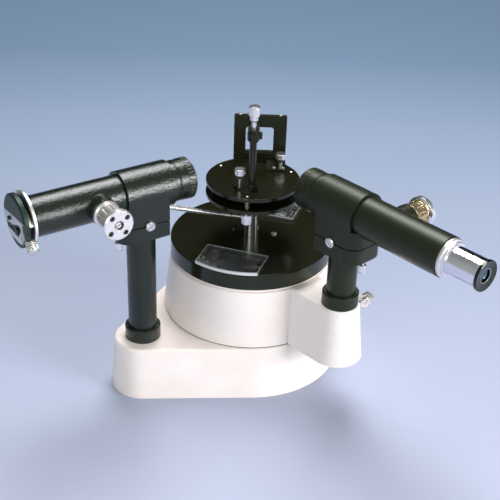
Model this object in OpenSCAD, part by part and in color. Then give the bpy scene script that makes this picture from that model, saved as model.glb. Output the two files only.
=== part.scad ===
// Student spectrometer: a cream cast base and drum, a collimator and a telescope on pillars,
// and a levelling prism table over a covered divided circle.
// Millimetres, +Z up. The origin is on the main axis, on the base's resting face.
// The collimator points along -X. Its parts and the telescope's are drawn on a local line:
// X runs outwards from the main axis, then the line is turned to its own bearing.

/* [Base] */
// Height of the base casting
base_height = 60.5; // [56:0.5:66]
// Radius of the base round the main axis, at the foot
base_radius = 102.3; // [99:0.1:104]
// Radius of the base end under the collimator pillar, at the foot
end_radius = 34.8; // [31:0.1:37]
// How far the base's sides fall inwards from foot to top
base_fall = 4.4; // [2:0.1:6]
// Distance of both pillars from the main axis
pillar_offset = 135; // [130:1:140]
// Rounding of the castings' top edges
casting_edge = 3; // [1:0.5:4]
// Wall of the castings
casting_wall = 6; // [4:0.5:8]

/* [Drum and arm] */
// Radius of the drum at its foot
drum_radius = 95; // [92:0.1:96]
// Height of the drum and its arm
drum_height = 63.5; // [58:0.5:66]
// How far the drum and arm sides fall inwards from foot to top
drum_fall = 7; // [4:0.1:8]
// Radius of the arm's rounded end at its foot
arm_radius = 27.5; // [24:0.5:29]
// Bearing of the telescope at rest, in degrees
telescope_bearing = -80.5; // [-120:0.5:-50]
// Radius of the dial cover
cover_radius = 87.5; // [86:0.1:88]
// Height of the dial cover's rim
cover_height = 17.3; // [14:0.1:20]

/* [Pillars and heads] */
// Radius of the pillars
pillar_radius = 15; // [12:0.1:17]
// Height of the foot rings
ring_height = 14.8; // [12:0.1:24]
// Height of the optical axis above the table
axis_height = 234.7; // [230:0.1:240]
// Bearing of the saddle's inner face from the main axis
saddle_inner = 114; // [112:0.5:117]
// Radius of the sleeves that hold the tubes
sleeve_radius = 23.4; // [22.4:0.1:25]

/* [Tubes] */
// Outer radius of both outer tubes
tube_radius = 20.3; // [19:0.1:21]
// Distance of the focusing knobs from the main axis
knob_offset = 186.5; // [184:0.5:194]
// Radius of the focusing knobs
knob_radius = 15.5; // [15:0.1:18]
// Number of teeth on the focusing pinions
pinion_teeth = 10; // [8:1:12]
// Radius of the slit flange
flange_radius = 27.4; // [24:0.1:30]
// Radius of the eyepiece barrel
eyepiece_radius = 14.6; // [13:0.1:15.5]

/* [Prism table] */
// Height of the levelling nuts
nut_height = 11.1; // [6:0.1:11.3]
// Radius of both table plates
plate_radius = 50; // [47:0.5:54]
// Thickness of each table plate
plate_thickness = 4.3; // [3:0.1:5]
// Height of the upper plate's top
table_height = 213.7; // [211:0.1:216]
// Free space between the plates
plate_gap = 9.9; // [9:0.1:11]
// Circle of the levelling studs
stud_circle = 44; // [40:0.5:45]
// Curls on each levelling spring
spring_curls = 5; // [4:1:6]
// Knurls round each thumb screw
knurls = 18; // [12:1:24]

/* [Preview] */
// Which piece to draw

/* [Hidden] */
$fn = 96;
run_gap = 0.05;
// Rounded forms reach this far past the flat ones that they blend with
hair = 0.02;
collimator_bearing = 180;

// Heights of the stand
drum_floor = base_height + 0.8;
drum_top = drum_floor + drum_height;
neck_radius = cover_radius - 1.4;
cover_under = drum_top + 3.3;
cover_top = cover_under + cover_height;
wall_inset = casting_wall + base_fall / 2;
web = 6;
web_floor = 12;
pad_radius = 7;
pad_offset = base_radius - 13;
pad_bearings = [40, 140, 220, 320];
rebate = 3.4;
spindle_radius = 11;
spindle_shoulder = base_height + 14;
spindle_top = cover_under - 16.1;

// Heads and saddles: the split lies at the pivot pin
split_height = axis_height - 30.2;
head_under = split_height - 16.7;
head_top = split_height - 0.6;
saddle_under = split_height + 0.6;
pivot_offset = pillar_offset + 1.5;
head_far = 166.7;
head_half = sleeve_radius - 0.2;
head_corner = 15;
pin_radius = 3;
sleeve_inner = 104.8;
sleeve_outer = 158.8;
levelling_offset = 160;
levelling_low = head_under - 15.5;
levelling_head = 9.2;
jack_radius = 2.8;
jack_offset = pillar_offset - pillar_radius - jack_radius - 0.3;

// Tubes
bore_radius = tube_radius - 2;
draw_radius = bore_radius - 0.08;
draw_wall = 1.5;
collimator_tube_end = 254;
telescope_tube_end = 258.5;
cell_end = 80;
cap_place = 297.4;
eye_lens_radius = 9;

// Rack and pinion, one module: the pinion's axis lies across the tube at the axis height
gear_module = 1;
pitch_radius = pinion_teeth * gear_module / 2;
rack_face = 13.6;
rack_depth = 3.3;
rack_teeth = 14;

// Slit: the jaws lie on the head's disc, and the width screw runs through a notch in its rim
flange_thickness = 3;
recess_radius = flange_radius - 3.4;
recess_depth = 2;
slit_turn = 28;
slit_width = 0.4;
head_disc = 26.5;
disc_back = 4.5;
disc_front = 8;
jaw_thickness = 1.5;
screw_drop = -3;
screw_stand = 4;

// Table
upper_under = table_height - plate_thickness;
lower_top = upper_under - plate_gap;
lower_under = lower_top - plate_thickness;
stud_bearings = [-131, -11, 109];
nut_radius = 5.4;
nut_low = lower_under - 1.4 - nut_height;
wire_radius = 0.4;
coil_radius = 2.35;
hub_radius = 9;
rod_radius = 6;
hub_top = table_height - 37.7;
lever_height = hub_top - 11;
lever_lean = 74.5;
lever_bearing = 164;
post_radius = 3.6;
post_spot = [-15.5, -21];
post_thumb_spot = [-24, -11];
holder_turn = -34.2;

// Cross-section of a casting wall: sloped side and a rounded top edge
module wall_section(foot, height, fall, edge)
{
    slope = atan(fall / height);
    side = foot - (height - edge) * tan(slope);
    centre = side - edge / cos(slope);
    square([centre, height]);
    polygon([[0, 0], [foot, 0], [centre + edge * cos(slope), height - edge + edge * sin(slope)],
        [centre, height - edge], [0, height - edge]]);
    translate([centre, height - edge])
        circle(r = edge + hair);
}

// Round casting body from that section
module round_wall(foot, height, fall, edge)
{
    rotate_extrude()
        intersection()
        {
            wall_section(foot, height, fall, edge);
            square([foot + 1, height]);
        }
}

// Straight casting side of the same section, running along +X for a length, facing +Y
module straight_wall(foot, height, fall, edge, length, width)
{
    rotate([90, 0, 90])
        linear_extrude(height = length)
            intersection()
            {
                wall_section(foot, height, fall, edge);
                translate([foot - width, 0])
                    square([width + 1, height]);
            }
}

// Tear-drop body: a large and a small round wall with both common tangents
module tear_drop(big, small, distance, height, fall, edge)
{
    lean = asin((big - small) / distance);
    reach = distance * cos(lean);
    round_wall(big, height, fall, edge);
    translate([distance, 0, 0])
        round_wall(small, height, fall, edge);
    for (side = [0, 1])
        mirror([0, side, 0])
            rotate([0, 0, -lean])
                straight_wall(big - hair, height, fall, edge, reach, small);
    linear_extrude(height = height)
        polygon([[0, big * 0.8], [0, -big * 0.8], [distance, -small * 0.5],
            [distance, small * 0.5]]);
}

// Flat tear-drop outline, whose straight sides lie a hair inside both circles
module drop_outline(big, small, distance)
{
    lean = asin((big - small) / distance);
    wide = big - hair;
    narrow = small - hair;
    circle(r = big);
    translate([distance, 0])
        circle(r = small);
    polygon([[wide * sin(lean), wide * cos(lean)],
        [distance + narrow * sin(lean), narrow * cos(lean)],
        [distance + narrow * sin(lean), -narrow * cos(lean)],
        [wide * sin(lean), -wide * cos(lean)]]);
}

// Cylinder along the local line, from one distance to another, on the optical axis
module along(from, to, radius)
{
    translate([from, 0, axis_height])
        rotate([0, 90, 0])
            cylinder(h = to - from, r = radius);
}

// Cone along the local line
module along_cone(from, to, radius_from, radius_to)
{
    translate([from, 0, axis_height])
        rotate([0, 90, 0])
            cylinder(h = to - from, r1 = radius_from, r2 = radius_to);
}

// Cylinder across the local line at the optical axis's height
module across(place, from, to, radius)
{
    translate([place, from, axis_height])
        rotate([-90, 0, 0])
            cylinder(h = to - from, r = radius);
}

// Upright knurled head with a chamfered rim
module knurled_head(radius, height)
{
    difference()
    {
        rotate_extrude()
            polygon([[0, 0], [radius - 0.5, 0], [radius, 0.5], [radius, height - 0.7],
                [radius - 0.7, height], [0, height]]);
        for (k = [0 : knurls - 1])
            rotate([0, 0, k * 360 / knurls])
                translate([radius + 0.28, 0, 0.9])
                    cylinder(h = height - 2, r = 0.62, $fn = 16);
    }
}

// Thumb screw: plain stem, cone and knurled head
module thumb_screw(stem_radius, stem, cone, head_radius, head)
{
    cylinder(h = stem, r = stem_radius);
    translate([0, 0, stem])
        cylinder(h = cone, r1 = stem_radius, r2 = head_radius - 0.5);
    translate([0, 0, stem + cone])
        knurled_head(head_radius, head);
}

// Round screw head with a slot, standing on its seat
module slotted_head(radius, height, turn)
{
    difference()
    {
        rotate_extrude()
            polygon([[0, 0], [radius, 0], [radius, height * 0.6], [radius * 0.8, height],
                [0, height]]);
        rotate([0, 0, turn])
            translate([-radius - 1, -radius * 0.12, height * 0.5])
                cube([2 * radius + 2, radius * 0.24, height]);
    }
}

// Base

module base_casting()
{
    color("Ivory")
        rotate([0, 0, 180])
            difference()
            {
                tear_drop(base_radius, end_radius, pillar_offset, base_height, base_fall,
                    casting_edge);
                difference()
                {
                    translate([0, 0, -1])
                        linear_extrude(height = base_height - casting_wall + 1)
                            drop_outline(base_radius - wall_inset, end_radius - wall_inset,
                                pillar_offset);
                    // Bearing boss, pillar boss and the web that joins them to the walls
                    cylinder(h = base_height, r = 26);
                    translate([pillar_offset, 0, 0])
                        cylinder(h = base_height, r = 17);
                    translate([0, -web / 2, web_floor])
                        cube([pillar_offset, web, base_height]);
                    for (turn = [90, 180, 270])
                        rotate([0, 0, turn])
                            translate([0, -web / 2, web_floor])
                                cube([base_radius - 4, web, base_height]);
                    // Pads that carry the bottom plate's screws
                    for (turn = pad_bearings)
                        rotate([0, 0, turn])
                            translate([pad_offset, 0, 0])
                                cylinder(h = base_height, r = pad_radius);
                }
                // Rebate for the bottom plate
                translate([0, 0, -1])
                    linear_extrude(height = 3.5)
                        drop_outline(base_radius - rebate, end_radius - rebate, pillar_offset);
                // Spindle bore and pillar bore
                translate([0, 0, web_floor])
                    cylinder(h = base_height, r = 14 + run_gap);
                translate([pillar_offset, 0, base_height - 16])
                    cylinder(h = 20, r = 8 + run_gap);
            }
}

module base_plate()
{
    color("DimGray")
        rotate([0, 0, 180])
            difference()
            {
                union()
                {
                    linear_extrude(height = 2.4)
                        drop_outline(base_radius - rebate - 0.3, end_radius - rebate - 0.3,
                            pillar_offset);
                    // Screw heads stand in shallow dishes
                    for (turn = pad_bearings)
                        rotate([0, 0, turn])
                            translate([pad_offset, 0, 0.6])
                                cylinder(h = 1.8, r = 4);
                }
                for (turn = pad_bearings)
                    rotate([0, 0, turn])
                        translate([pad_offset, 0, -1])
                        {
                            difference()
                            {
                                cylinder(h = 1.6, r = 4.6);
                                translate([0, 0, -1])
                                    cylinder(h = 4, r = 3.6);
                            }
                            translate([-3, -0.5, 0])
                                cube([6, 1, 1.7]);
                        }
            }
}

module main_spindle()
{
    color("Silver")
        difference()
        {
            rotate_extrude()
                polygon([[0, web_floor + 0.2], [13, web_floor + 0.2], [14, web_floor + 1.2],
                    [14, base_height], [17, base_height], [17, drum_floor],
                    [12, base_height + 2.5], [spindle_radius, spindle_shoulder],
                    [spindle_radius, spindle_top - 1], [spindle_radius - 1, spindle_top],
                    [0, spindle_top]]);
            translate([0, 0, spindle_top - 44])
                cylinder(h = 50, r = 7 + run_gap);
        }
}

// Pillars and heads, drawn on the local line

module pillar(foot)
{
    difference()
    {
        union()
        {
            translate([pillar_offset, 0, foot])
                cylinder(h = head_under - foot, r = pillar_radius);
            translate([pillar_offset, 0, foot - 12])
                cylinder(h = 13, r = 8);
            translate([pillar_offset, 0, head_under - 1])
                cylinder(h = 8, r = 7);
        }
        // Shallow turned line below the head
        translate([pillar_offset, 0, head_under - 6])
            difference()
            {
                cylinder(h = 0.8, r = pillar_radius + 1);
                translate([0, 0, -1])
                    cylinder(h = 4, r = pillar_radius - 0.4);
            }
    }
}

module foot_ring(foot)
{
    outer = pillar_radius + 3.8;
    translate([pillar_offset, 0, foot])
        rotate_extrude()
            polygon([[pillar_radius + run_gap, 0], [outer, 0], [outer, ring_height - 1.2],
                [outer - 1.2, ring_height], [pillar_radius + run_gap, ring_height]]);
}

// Outline of head and saddle from above: square within, rounded corners at the outer end
module head_outline()
{
    square_end = head_far - head_corner;
    translate([saddle_inner, hair - head_half])
        square([square_end - saddle_inner, 2 * (head_half - hair)]);
    translate([saddle_inner, head_corner - head_half])
        square([head_far - hair - saddle_inner, 2 * (head_half - head_corner)]);
    for (side = [-1, 1])
        translate([square_end, side * (head_half - head_corner)])
            circle(r = head_corner);
}

module head_plate()
{
    difference()
    {
        translate([0, 0, head_under])
            linear_extrude(height = head_top - head_under)
                head_outline();
        translate([pillar_offset, 0, head_under - 1])
            cylinder(h = 9, r = 7 + run_gap);
        translate([pivot_offset, -head_half - 1, split_height])
            rotate([-90, 0, 0])
                cylinder(h = 2 * head_half + 2, r = pin_radius + run_gap);
        translate([levelling_offset, 0, head_under - 1])
            cylinder(h = 20, r = 2 + run_gap);
        translate([jack_offset, 0, head_under - 1])
            cylinder(h = 20, r = 1.8 + run_gap);
    }
}

module saddle()
{
    rise = axis_height - saddle_under;
    difference()
    {
        union()
        {
            along(sleeve_inner, sleeve_outer, sleeve_radius);
            // Block under the sleeve; its outer end stops below the tube
            translate([0, 0, saddle_under])
            {
                linear_extrude(height = rise - 11)
                    head_outline();
                intersection()
                {
                    linear_extrude(height = rise)
                        head_outline();
                    translate([saddle_inner - 1, -40, 0])
                        cube([sleeve_outer - saddle_inner + 1, 80, rise]);
                }
            }
        }
        along(sleeve_inner - 5, sleeve_outer + 30, tube_radius + run_gap);
        translate([pivot_offset, -head_half - 1, split_height])
            rotate([-90, 0, 0])
                cylinder(h = 2 * head_half + 2, r = pin_radius + run_gap);
        // Split at the sleeve's underside, inside the block, that clamps the tube
        translate([sleeve_inner - 1, -0.6, saddle_under + 3])
            cube([9, 1.2, 16]);
    }
}

module pivot_pin()
{
    half = sleeve_radius + 0.2;
    translate([pivot_offset, 0, split_height])
    {
        rotate([90, 0, 0])
            translate([0, 0, -half])
                cylinder(h = 2 * half, r = pin_radius);
        for (side = [0, 1])
            mirror([0, side, 0])
                translate([0, half, 0])
                    rotate([-90, 0, 0])
                        slotted_head(5.3, 2.4, 35);
    }
}

module levelling_screw()
{
    translate([levelling_offset, 0, levelling_low])
    {
        knurled_head(3.9, levelling_head);
        translate([0, 0, levelling_head])
            cylinder(h = split_height - levelling_low - levelling_head, r = 2);
    }
}

module jack_screw()
{
    translate([jack_offset, 0, head_under - 12])
    {
        translate([0, 0, 3])
            mirror([0, 0, 1])
                slotted_head(jack_radius, 3, 0);
        translate([0, 0, 2])
            cylinder(h = split_height - head_under + 10, r = 1.8);
    }
}

module lens_cell(bore)
{
    difference()
    {
        union()
        {
            translate([cell_end, 0, axis_height])
                rotate([90, 0, 90])
                    rotate_extrude()
                        polygon([[0, 0], [19.6, 0], [21.4, 1.6], [21.4, 9], [21, 9.4], [21, 18],
                            [20.2, 18.6], [20.2, 19.4], [20.8, 20], [20.8, 24.4],
                            [bore_radius - run_gap, 24.4], [bore_radius - run_gap, 34], [0, 34]]);
        }
        along(cell_end - 1, cell_end + 40, bore - 1.5);
        along(cell_end - 1, cell_end + 3, bore + 1);
        along(cell_end + 3, cell_end + 14, bore + run_gap);
        // Fine knurl on the widest ring
        for (k = [0 : 35])
            translate([cell_end + 2.4, 0, axis_height])
                rotate([k * 10, 0, 0])
                    translate([0, 0, 21.75])
                        rotate([0, 90, 0])
                            cylinder(h = 6, r = 0.6, $fn = 16);
    }
}

// Two-sided lens of a given rim radius, centred at a place on the line
module lens(place, radius, curve, thick)
{
    shift = curve - thick / 2;
    translate([place, 0, axis_height])
        rotate([90, 0, 90])
            rotate_extrude()
                intersection()
                {
                    translate([0, -thick])
                        square([radius, 2 * thick]);
                    translate([0, shift])
                        circle(r = curve, $fn = 360);
                    translate([0, -shift])
                        circle(r = curve, $fn = 360);
                }
}

module outer_tube(far)
{
    difference()
    {
        union()
        {
            along(sleeve_inner - 0.2, far - 0.8, tube_radius);
            along_cone(far - 0.8, far, tube_radius, tube_radius - 0.7);
            // Focusing boss with a turned shoulder
            across(knob_offset, tube_radius - 6, tube_radius + 6.5, 14);
            translate([knob_offset, tube_radius + 6.5, axis_height])
                rotate([-90, 0, 0])
                    cylinder(h = 2.2, r1 = 14, r2 = 12.5);
        }
        along(sleeve_inner - 2, far + 2, bore_radius);
        across(knob_offset, 10, tube_radius + 20, 4 + run_gap);
    }
}

// Draw tube with a slot on the knob's side; a rack is cut along the slot's upper edge
module draw_tube(near, far)
{
    rack_start = knob_offset - 34;
    rack_end = knob_offset + 9;
    difference()
    {
        union()
        {
            difference()
            {
                along(near, far, draw_radius);
                along(near - 1, far + 1, draw_radius - draw_wall);
                translate([rack_start, 8, axis_height - pitch_radius - 1.8])
                    cube([rack_end - rack_start, 14, 2 * pitch_radius + 3.2]);
            }
            intersection()
            {
                translate([rack_start - 1, rack_face, axis_height + pitch_radius - gear_module])
                    cube([rack_end - rack_start + 2, rack_depth + 0.6, 4.6]);
                along(near, far, draw_radius - 0.5);
            }
        }
        // Tooth spaces, one pitch apart, with a little backlash
        for (k = [-10 : 3])
            translate([knob_offset + k * gear_module * PI, 0,
                axis_height + pitch_radius])
                rotate([-90, 0, 0])
                    linear_extrude(height = 30)
                        polygon([[-1.32, gear_module + 0.2], [1.32, gear_module + 0.2],
                            [0.38, -1.25 * gear_module], [-0.38, -1.25 * gear_module]]);
    }
}

// Pinion tooth outline: straight-sided teeth that fit the rack's spaces
module pinion_outline()
{
    union()
    {
        circle(r = pitch_radius - 1.25 * gear_module);
        for (k = [0 : pinion_teeth - 1])
            rotate(k * 360 / pinion_teeth + 90)
                polygon([[pitch_radius - 1.9 * gear_module, -1.02], [pitch_radius, -0.66],
                    [pitch_radius + 0.85 * gear_module, -0.3],
                    [pitch_radius + 0.85 * gear_module, 0.3],
                    [pitch_radius, 0.66], [pitch_radius - 1.9 * gear_module, 1.02]]);
    }
}

// Spool-shaped focusing knob, its shaft and its pinion
module focus_knob(front)
{
    seat = tube_radius + 8.9;
    disc = front - 5.6;
    difference()
    {
        union()
        {
            translate([knob_offset, rack_face + 0.2, axis_height])
                rotate([-90, half_tooth(), 0])
                    linear_extrude(height = rack_depth - 0.3)
                        pinion_outline();
            across(knob_offset, rack_face + 0.2, seat + 1, 3);
            across(knob_offset, bore_radius + 1.4, seat + 1, 4);
            translate([knob_offset, 0, axis_height])
                rotate([-90, 0, 0])
                    rotate_extrude()
                        polygon([[0, seat], [13, seat], [13.6, seat + 0.6], [13.6, seat + 2.8],
                            [13, seat + 3.4], [12.2, seat + 4.6], [12.2, disc - 1.6],
                            [13.4, disc - 0.6], [knob_radius - 0.6, disc], [knob_radius, disc + 0.6],
                            [knob_radius, front - 1], [knob_radius - 1, front], [0, front]]);
        }
        for (turn = [0 : 90 : 270])
            rotate_about_knob(turn + 38)
                across(knob_offset + 11, front - 3.4, front + 1, 2.7);
        across(knob_offset, front - 2.6, front + 1, 4.9);
        // Flutes on the waist
        for (turn = [0 : 30 : 330])
            rotate_about_knob(turn)
                across(knob_offset + 13, seat + 5, disc - 2, 1.9);
    }
    // Slotted screw that holds the knob on its shaft
    translate([knob_offset, front - 2.6, axis_height])
        rotate([-90, 0, 0])
            slotted_head(3.4, 1.6, 30);
}

function half_tooth() = pinion_teeth % 2 == 0 ? 0 : 180 / pinion_teeth;

module rotate_about_knob(turn)
{
    translate([knob_offset, 0, axis_height])
        rotate([0, turn, 0])
            translate([-knob_offset, 0, -axis_height])
                children();
}

// Collimator

module collimator_pillar()
{
    color("DarkSlateGray")
        rotate([0, 0, collimator_bearing])
            pillar(base_height);
}

module collimator_foot_ring()
{
    color("DarkSlateGray")
        rotate([0, 0, collimator_bearing])
            foot_ring(base_height);
}

module collimator_head()
{
    color("DarkSlateGray")
        rotate([0, 0, collimator_bearing])
            head_plate();
}

module collimator_jack_screw()
{
    color("Silver")
        rotate([0, 0, collimator_bearing])
            jack_screw();
}

module collimator_saddle()
{
    color("DarkSlateGray")
        rotate([0, 0, collimator_bearing])
            saddle();
}

module collimator_pivot_pin()
{
    color("Silver")
        rotate([0, 0, collimator_bearing])
            pivot_pin();
}

module collimator_tube()
{
    color("DarkSlateGray")
        rotate([0, 0, collimator_bearing])
            outer_tube(collimator_tube_end);
}

module collimator_lens_cell()
{
    color("DarkSlateGray")
        rotate([0, 0, collimator_bearing])
            lens_cell(16.5);
}

module collimator_lens()
{
    color("LightCyan")
        rotate([0, 0, collimator_bearing])
            lens(cell_end + 7.6, 16.5, 58, 8);
}

module collimator_levelling_screw()
{
    color("Silver")
        rotate([0, 0, collimator_bearing])
            levelling_screw();
}

module collimator_draw_tube()
{
    color("Gray")
        rotate([0, 0, collimator_bearing])
            draw_tube(140, collimator_tube_end + 0.2);
}

module collimator_focus_knob()
{
    color("Silver")
        rotate([0, 0, collimator_bearing])
            focus_knob(56.5);
}

// Slit flange: bright dished disc on the draw tube's end
module slit_flange()
{
    near = collimator_tube_end + 0.2;
    dish = flange_thickness - recess_depth;
    color("Silver")
        rotate([0, 0, collimator_bearing])
            translate([near, 0, axis_height])
                rotate([90, 0, 90])
                    rotate_extrude()
                        polygon([[9, 0], [flange_radius - 0.4, 0], [flange_radius, 0.4],
                            [flange_radius, flange_thickness - 0.5],
                            [flange_radius - 0.5, flange_thickness],
                            [recess_radius, flange_thickness], [recess_radius, dish],
                            [9, dish]]);
}

// Frame of the slit's own pieces: X outwards from the flange's face, Y along the jaw's travel
module slit_place()
{
    rotate([0, 0, collimator_bearing])
        translate([collimator_tube_end + 0.2 + flange_thickness, 0, axis_height])
            rotate([-slit_turn, 0, 0])
                children();
}

// Round slit solid on the optical line
module slit_along(from, to, radius)
{
    translate([from, 0, 0])
        rotate([0, 90, 0])
            cylinder(h = to - from, r = radius);
}

// Flat slit solid from an outline in Y and Z
module slit_plate(from, thickness)
{
    translate([from, 0, 0])
        rotate([90, 0, 90])
            linear_extrude(height = thickness)
                children();
}

// Cylinder along the width screw's axis
module along_screw(from, to, radius)
{
    translate([screw_stand, from, screw_drop])
        rotate([-90, 0, 0])
            cylinder(h = to - from, r = radius);
}

// Black body: a washer in the flange's dish, a neck, the jaws' disc and a cover over its upper part
module slit_head()
{
    color("DarkSlateGray")
        slit_place()
        {
            difference()
            {
                union()
                {
                    slit_along(-recess_depth, -1.2, recess_radius - 0.2);
                    slit_along(-recess_depth, disc_back + 0.1, 10);
                    slit_along(disc_back, disc_front, head_disc);
                    intersection()
                    {
                        translate([disc_front, 0, 0])
                            rotate([90, 0, 90])
                                rotate_extrude()
                                    polygon([[0, -0.1], [head_disc, -0.1], [head_disc, 0.4],
                                        [head_disc - 2.3, 1.6], [0, 1.6]]);
                        rotate([slit_turn + 5.6, 0, 0])
                            translate([0, -40, 5.5])
                                cube([20, 80, 40]);
                    }
                }
                slit_along(-recess_depth - 1, disc_front + 1, 5);
                // Notch for the moving jaw's lug and the width screw
                translate([disc_back - 1, 15.4, screw_drop - 4.2])
                    cube([disc_front - disc_back + 2, 20, 8.4]);
            }
            // Two dark screw heads that stand on the disc
            translate([0, -9.1, -6.5])
                slit_along(disc_front - 0.1, disc_front + 3.2, 2.1);
            translate([0, 9.6, -2.9])
                slit_along(disc_front - 0.1, disc_front + 3.5, 3.7);
        }
}

// Fixed jaw, a spacer strip behind the disc and the post that the width screw turns in
module slit_fixed_jaw()
{
    half = slit_width / 2;
    color("Silver")
        slit_place()
        {
            difference()
            {
                slit_plate(disc_front, jaw_thickness)
                    polygon([[-half, 6.2], [-half, -6.3], [-3.5, -8.6], [-10.8, -13.9],
                        [-17.6, -18.6], [-22, -9.2], [-21.6, -8.3]]);
                translate([0, -9.1, -6.5])
                    slit_along(disc_front - 1, disc_front + 3, 2.2);
            }
            translate([0, 0, 14.6])
                cube([disc_back, 20.8, 1.8]);
            difference()
            {
                translate([0, 22, screw_drop - 3.8])
                    cube([7.6, 4, 7.6]);
                along_screw(20, 28, 2 + run_gap);
            }
        }
}

// Moving jaw: a blade, an arm round the dark screw head and a lug that the width screw draws
module slit_moving_jaw()
{
    half = slit_width / 2;
    color("Silver")
        slit_place()
            difference()
            {
                union()
                {
                    difference()
                    {
                        slit_plate(disc_front, jaw_thickness)
                            polygon([[half, 6.2], [half, -5.2], [8.8, 5], [13.7, 5], [13.7, -8],
                                [-7.8, -18.6], [-5, -24.2], [4.5, -19.8], [16, -13.5],
                                [22.5, -8], [22.5, 3], [16.5, 9], [15.5, 15.5]]);
                        translate([0, 19.6, -1.5])
                            slit_along(disc_front - 1, disc_front + 3, 1.9);
                    }
                    translate([1.6, 16.2, screw_drop - 3.5])
                        cube([disc_front - 1.5, 3.2, 7]);
                }
                along_screw(14, 24, 2 + run_gap);
            }
}

module slit_screw()
{
    color("Silver")
        slit_place()
        {
            along_screw(15.8, 26.5, 2);
            along_screw(26.1, 28, 3.2);
            // Knurled head with a domed end
            translate([screw_stand, 27.8, screw_drop])
                rotate([-90, 0, 0])
                {
                    knurled_head(5.2, 8.4);
                    translate([0, 0, 8.4])
                        rotate_extrude()
                            intersection()
                            {
                                square([4.4, 3]);
                                translate([0, -4.6])
                                    circle(r = 6.4);
                            }
                }
        }
}

// Drum, arm and dial cover

module drum_casting()
{
    color("Ivory")
        difference()
        {
            union()
            {
                translate([0, 0, drum_floor])
                    round_wall(drum_radius, drum_height, drum_fall, 1.5);
                translate([0, 0, drum_top - 5])
                    cylinder(h = cover_under - drum_top + 5, r = neck_radius);
                rotate([0, 0, telescope_bearing])
                    translate([0, 0, drum_floor])
                    {
                        translate([pillar_offset, 0, 0])
                            round_wall(arm_radius, drum_height, drum_fall, casting_edge);
                        for (side = [0, 1])
                            mirror([0, side, 0])
                                straight_wall(arm_radius - hair, drum_height, drum_fall,
                                    casting_edge, pillar_offset, arm_radius);
                    }
            }
            // Hollow of the drum, open to the cover
            translate([0, 0, drum_floor + casting_wall])
                cylinder(h = drum_height, r1 = drum_radius - casting_wall,
                    r2 = drum_radius - casting_wall - drum_fall - 6);
            translate([0, 0, drum_top - 4])
                cylinder(h = 10, r = 74);
            // Bearing bore is drilled through the boss added below
            translate([0, 0, drum_floor - 1])
                cylinder(h = casting_wall + 2, r = 20);
            // Hollow of the arm, open below
            rotate([0, 0, telescope_bearing])
                difference()
                {
                    translate([0, 0, drum_floor - 1])
                        union()
                        {
                            translate([pillar_offset, 0, 0])
                                cylinder(h = drum_height - 13, r1 = arm_radius - casting_wall,
                                    r2 = arm_radius - casting_wall - drum_fall);
                            translate([drum_radius + 3, -14, 0])
                                cube([pillar_offset - drum_radius - 3, 28, drum_height - 13]);
                        }
                    translate([pillar_offset, 0, 0])
                        cylinder(h = 200, r = 11);
                }
            rotate([0, 0, telescope_bearing])
            {
                translate([pillar_offset, 0, drum_top - 16])
                    cylinder(h = 20, r = 8 + run_gap);
                // Tapped boss of the arm clamp
                translate([143, 8, drum_top - 7])
                    rotate([-90, 0, 0])
                        cylinder(h = 30, r = 3 + run_gap);
            }
        }
    color("Ivory")
        difference()
        {
            union()
            {
                translate([0, 0, drum_floor])
                    cylinder(h = casting_wall, r = 22);
                translate([0, 0, drum_floor])
                    cylinder(h = 45, r = 18);
                for (turn = [0 : 60 : 300])
                    rotate([0, 0, turn + 10])
                        translate([15, -2.5, drum_floor + casting_wall - 1])
                            cube([70, 5, 12]);
            }
            translate([0, 0, drum_floor - 1])
                cylinder(h = 60, r = 11 + run_gap);
            translate([0, 0, drum_floor - 1])
                cylinder(h = 14.5, r = 17.3);
        }
}

// Dial cover: a shallow black lid with two window openings
module dial_cover()
{
    color("DarkSlateGray")
        difference()
        {
            translate([0, 0, cover_under])
                difference()
                {
                    rotate_extrude()
                        polygon([[0, 0], [cover_radius, 0], [cover_radius, cover_height - 1.2],
                            [cover_radius - 1.2, cover_height], [0, cover_height]]);
                    translate([0, 0, -1])
                        cylinder(h = cover_height - 3.5 + 1, r = cover_radius - 3.5);
                    cylinder(h = 50, r = hub_radius + 0.6);
                }
            for (turn = [38, 218])
                rotate([0, 0, turn])
                    intersection()
                    {
                        translate([48, -29, cover_under])
                            cube([60, 58, 60]);
                        cylinder(h = 300, r = 80.5);
                    }
            // Seats of the two small cover screws
            translate([-10, 19, cover_top - 2])
                cylinder(h = 5, r = 1.6);
            translate([21.6, -12.5, cover_top - 2])
                cylinder(h = 5, r = 1.6);
        }
}

module window_outline(cut)
{
    intersection()
    {
        translate([43.5 + cut, -34 + cut])
            square([60, 68 - 2 * cut]);
        circle(r = cover_radius - 0.5 - cut);
    }
}

module dial_windows()
{
    color("LightCyan")
        for (turn = [38, 218])
            rotate([0, 0, turn])
                difference()
                {
                    union()
                    {
                        translate([0, 0, cover_top])
                            linear_extrude(height = 3)
                                window_outline(0);
                        translate([0, 0, cover_top + 3])
                            linear_extrude(height = 0.5)
                                window_outline(0.5);
                    }
                    for (side = [-1, 1])
                        translate([65, side * 31, cover_top - 1])
                            cylinder(h = 8, r = 1.25);
                }
}

module dial_screws()
{
    color("Silver")
    {
        for (turn = [38, 218])
            rotate([0, 0, turn])
                for (side = [-1, 1])
                    translate([65, side * 31, cover_top])
                    {
                        cylinder(h = 3.5, r = 1.2);
                        translate([0, 0, 3.5])
                            slotted_head(2.2, 0.9, 20);
                    }
        translate([-10, 19, cover_top - 2])
            cylinder(h = 2.2, r = 1.55);
        translate([-10, 19, cover_top])
            cylinder(h = 2.4, r = 1.6);
        translate([-10, 19, cover_top + 2.4])
            slotted_head(3, 2, 0);
        translate([21.6, -12.5, cover_top - 2])
            cylinder(h = 2.2, r = 1.55);
        translate([21.6, -12.5, cover_top])
            slotted_head(3.4, 1.1, -30);
    }
}

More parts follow.
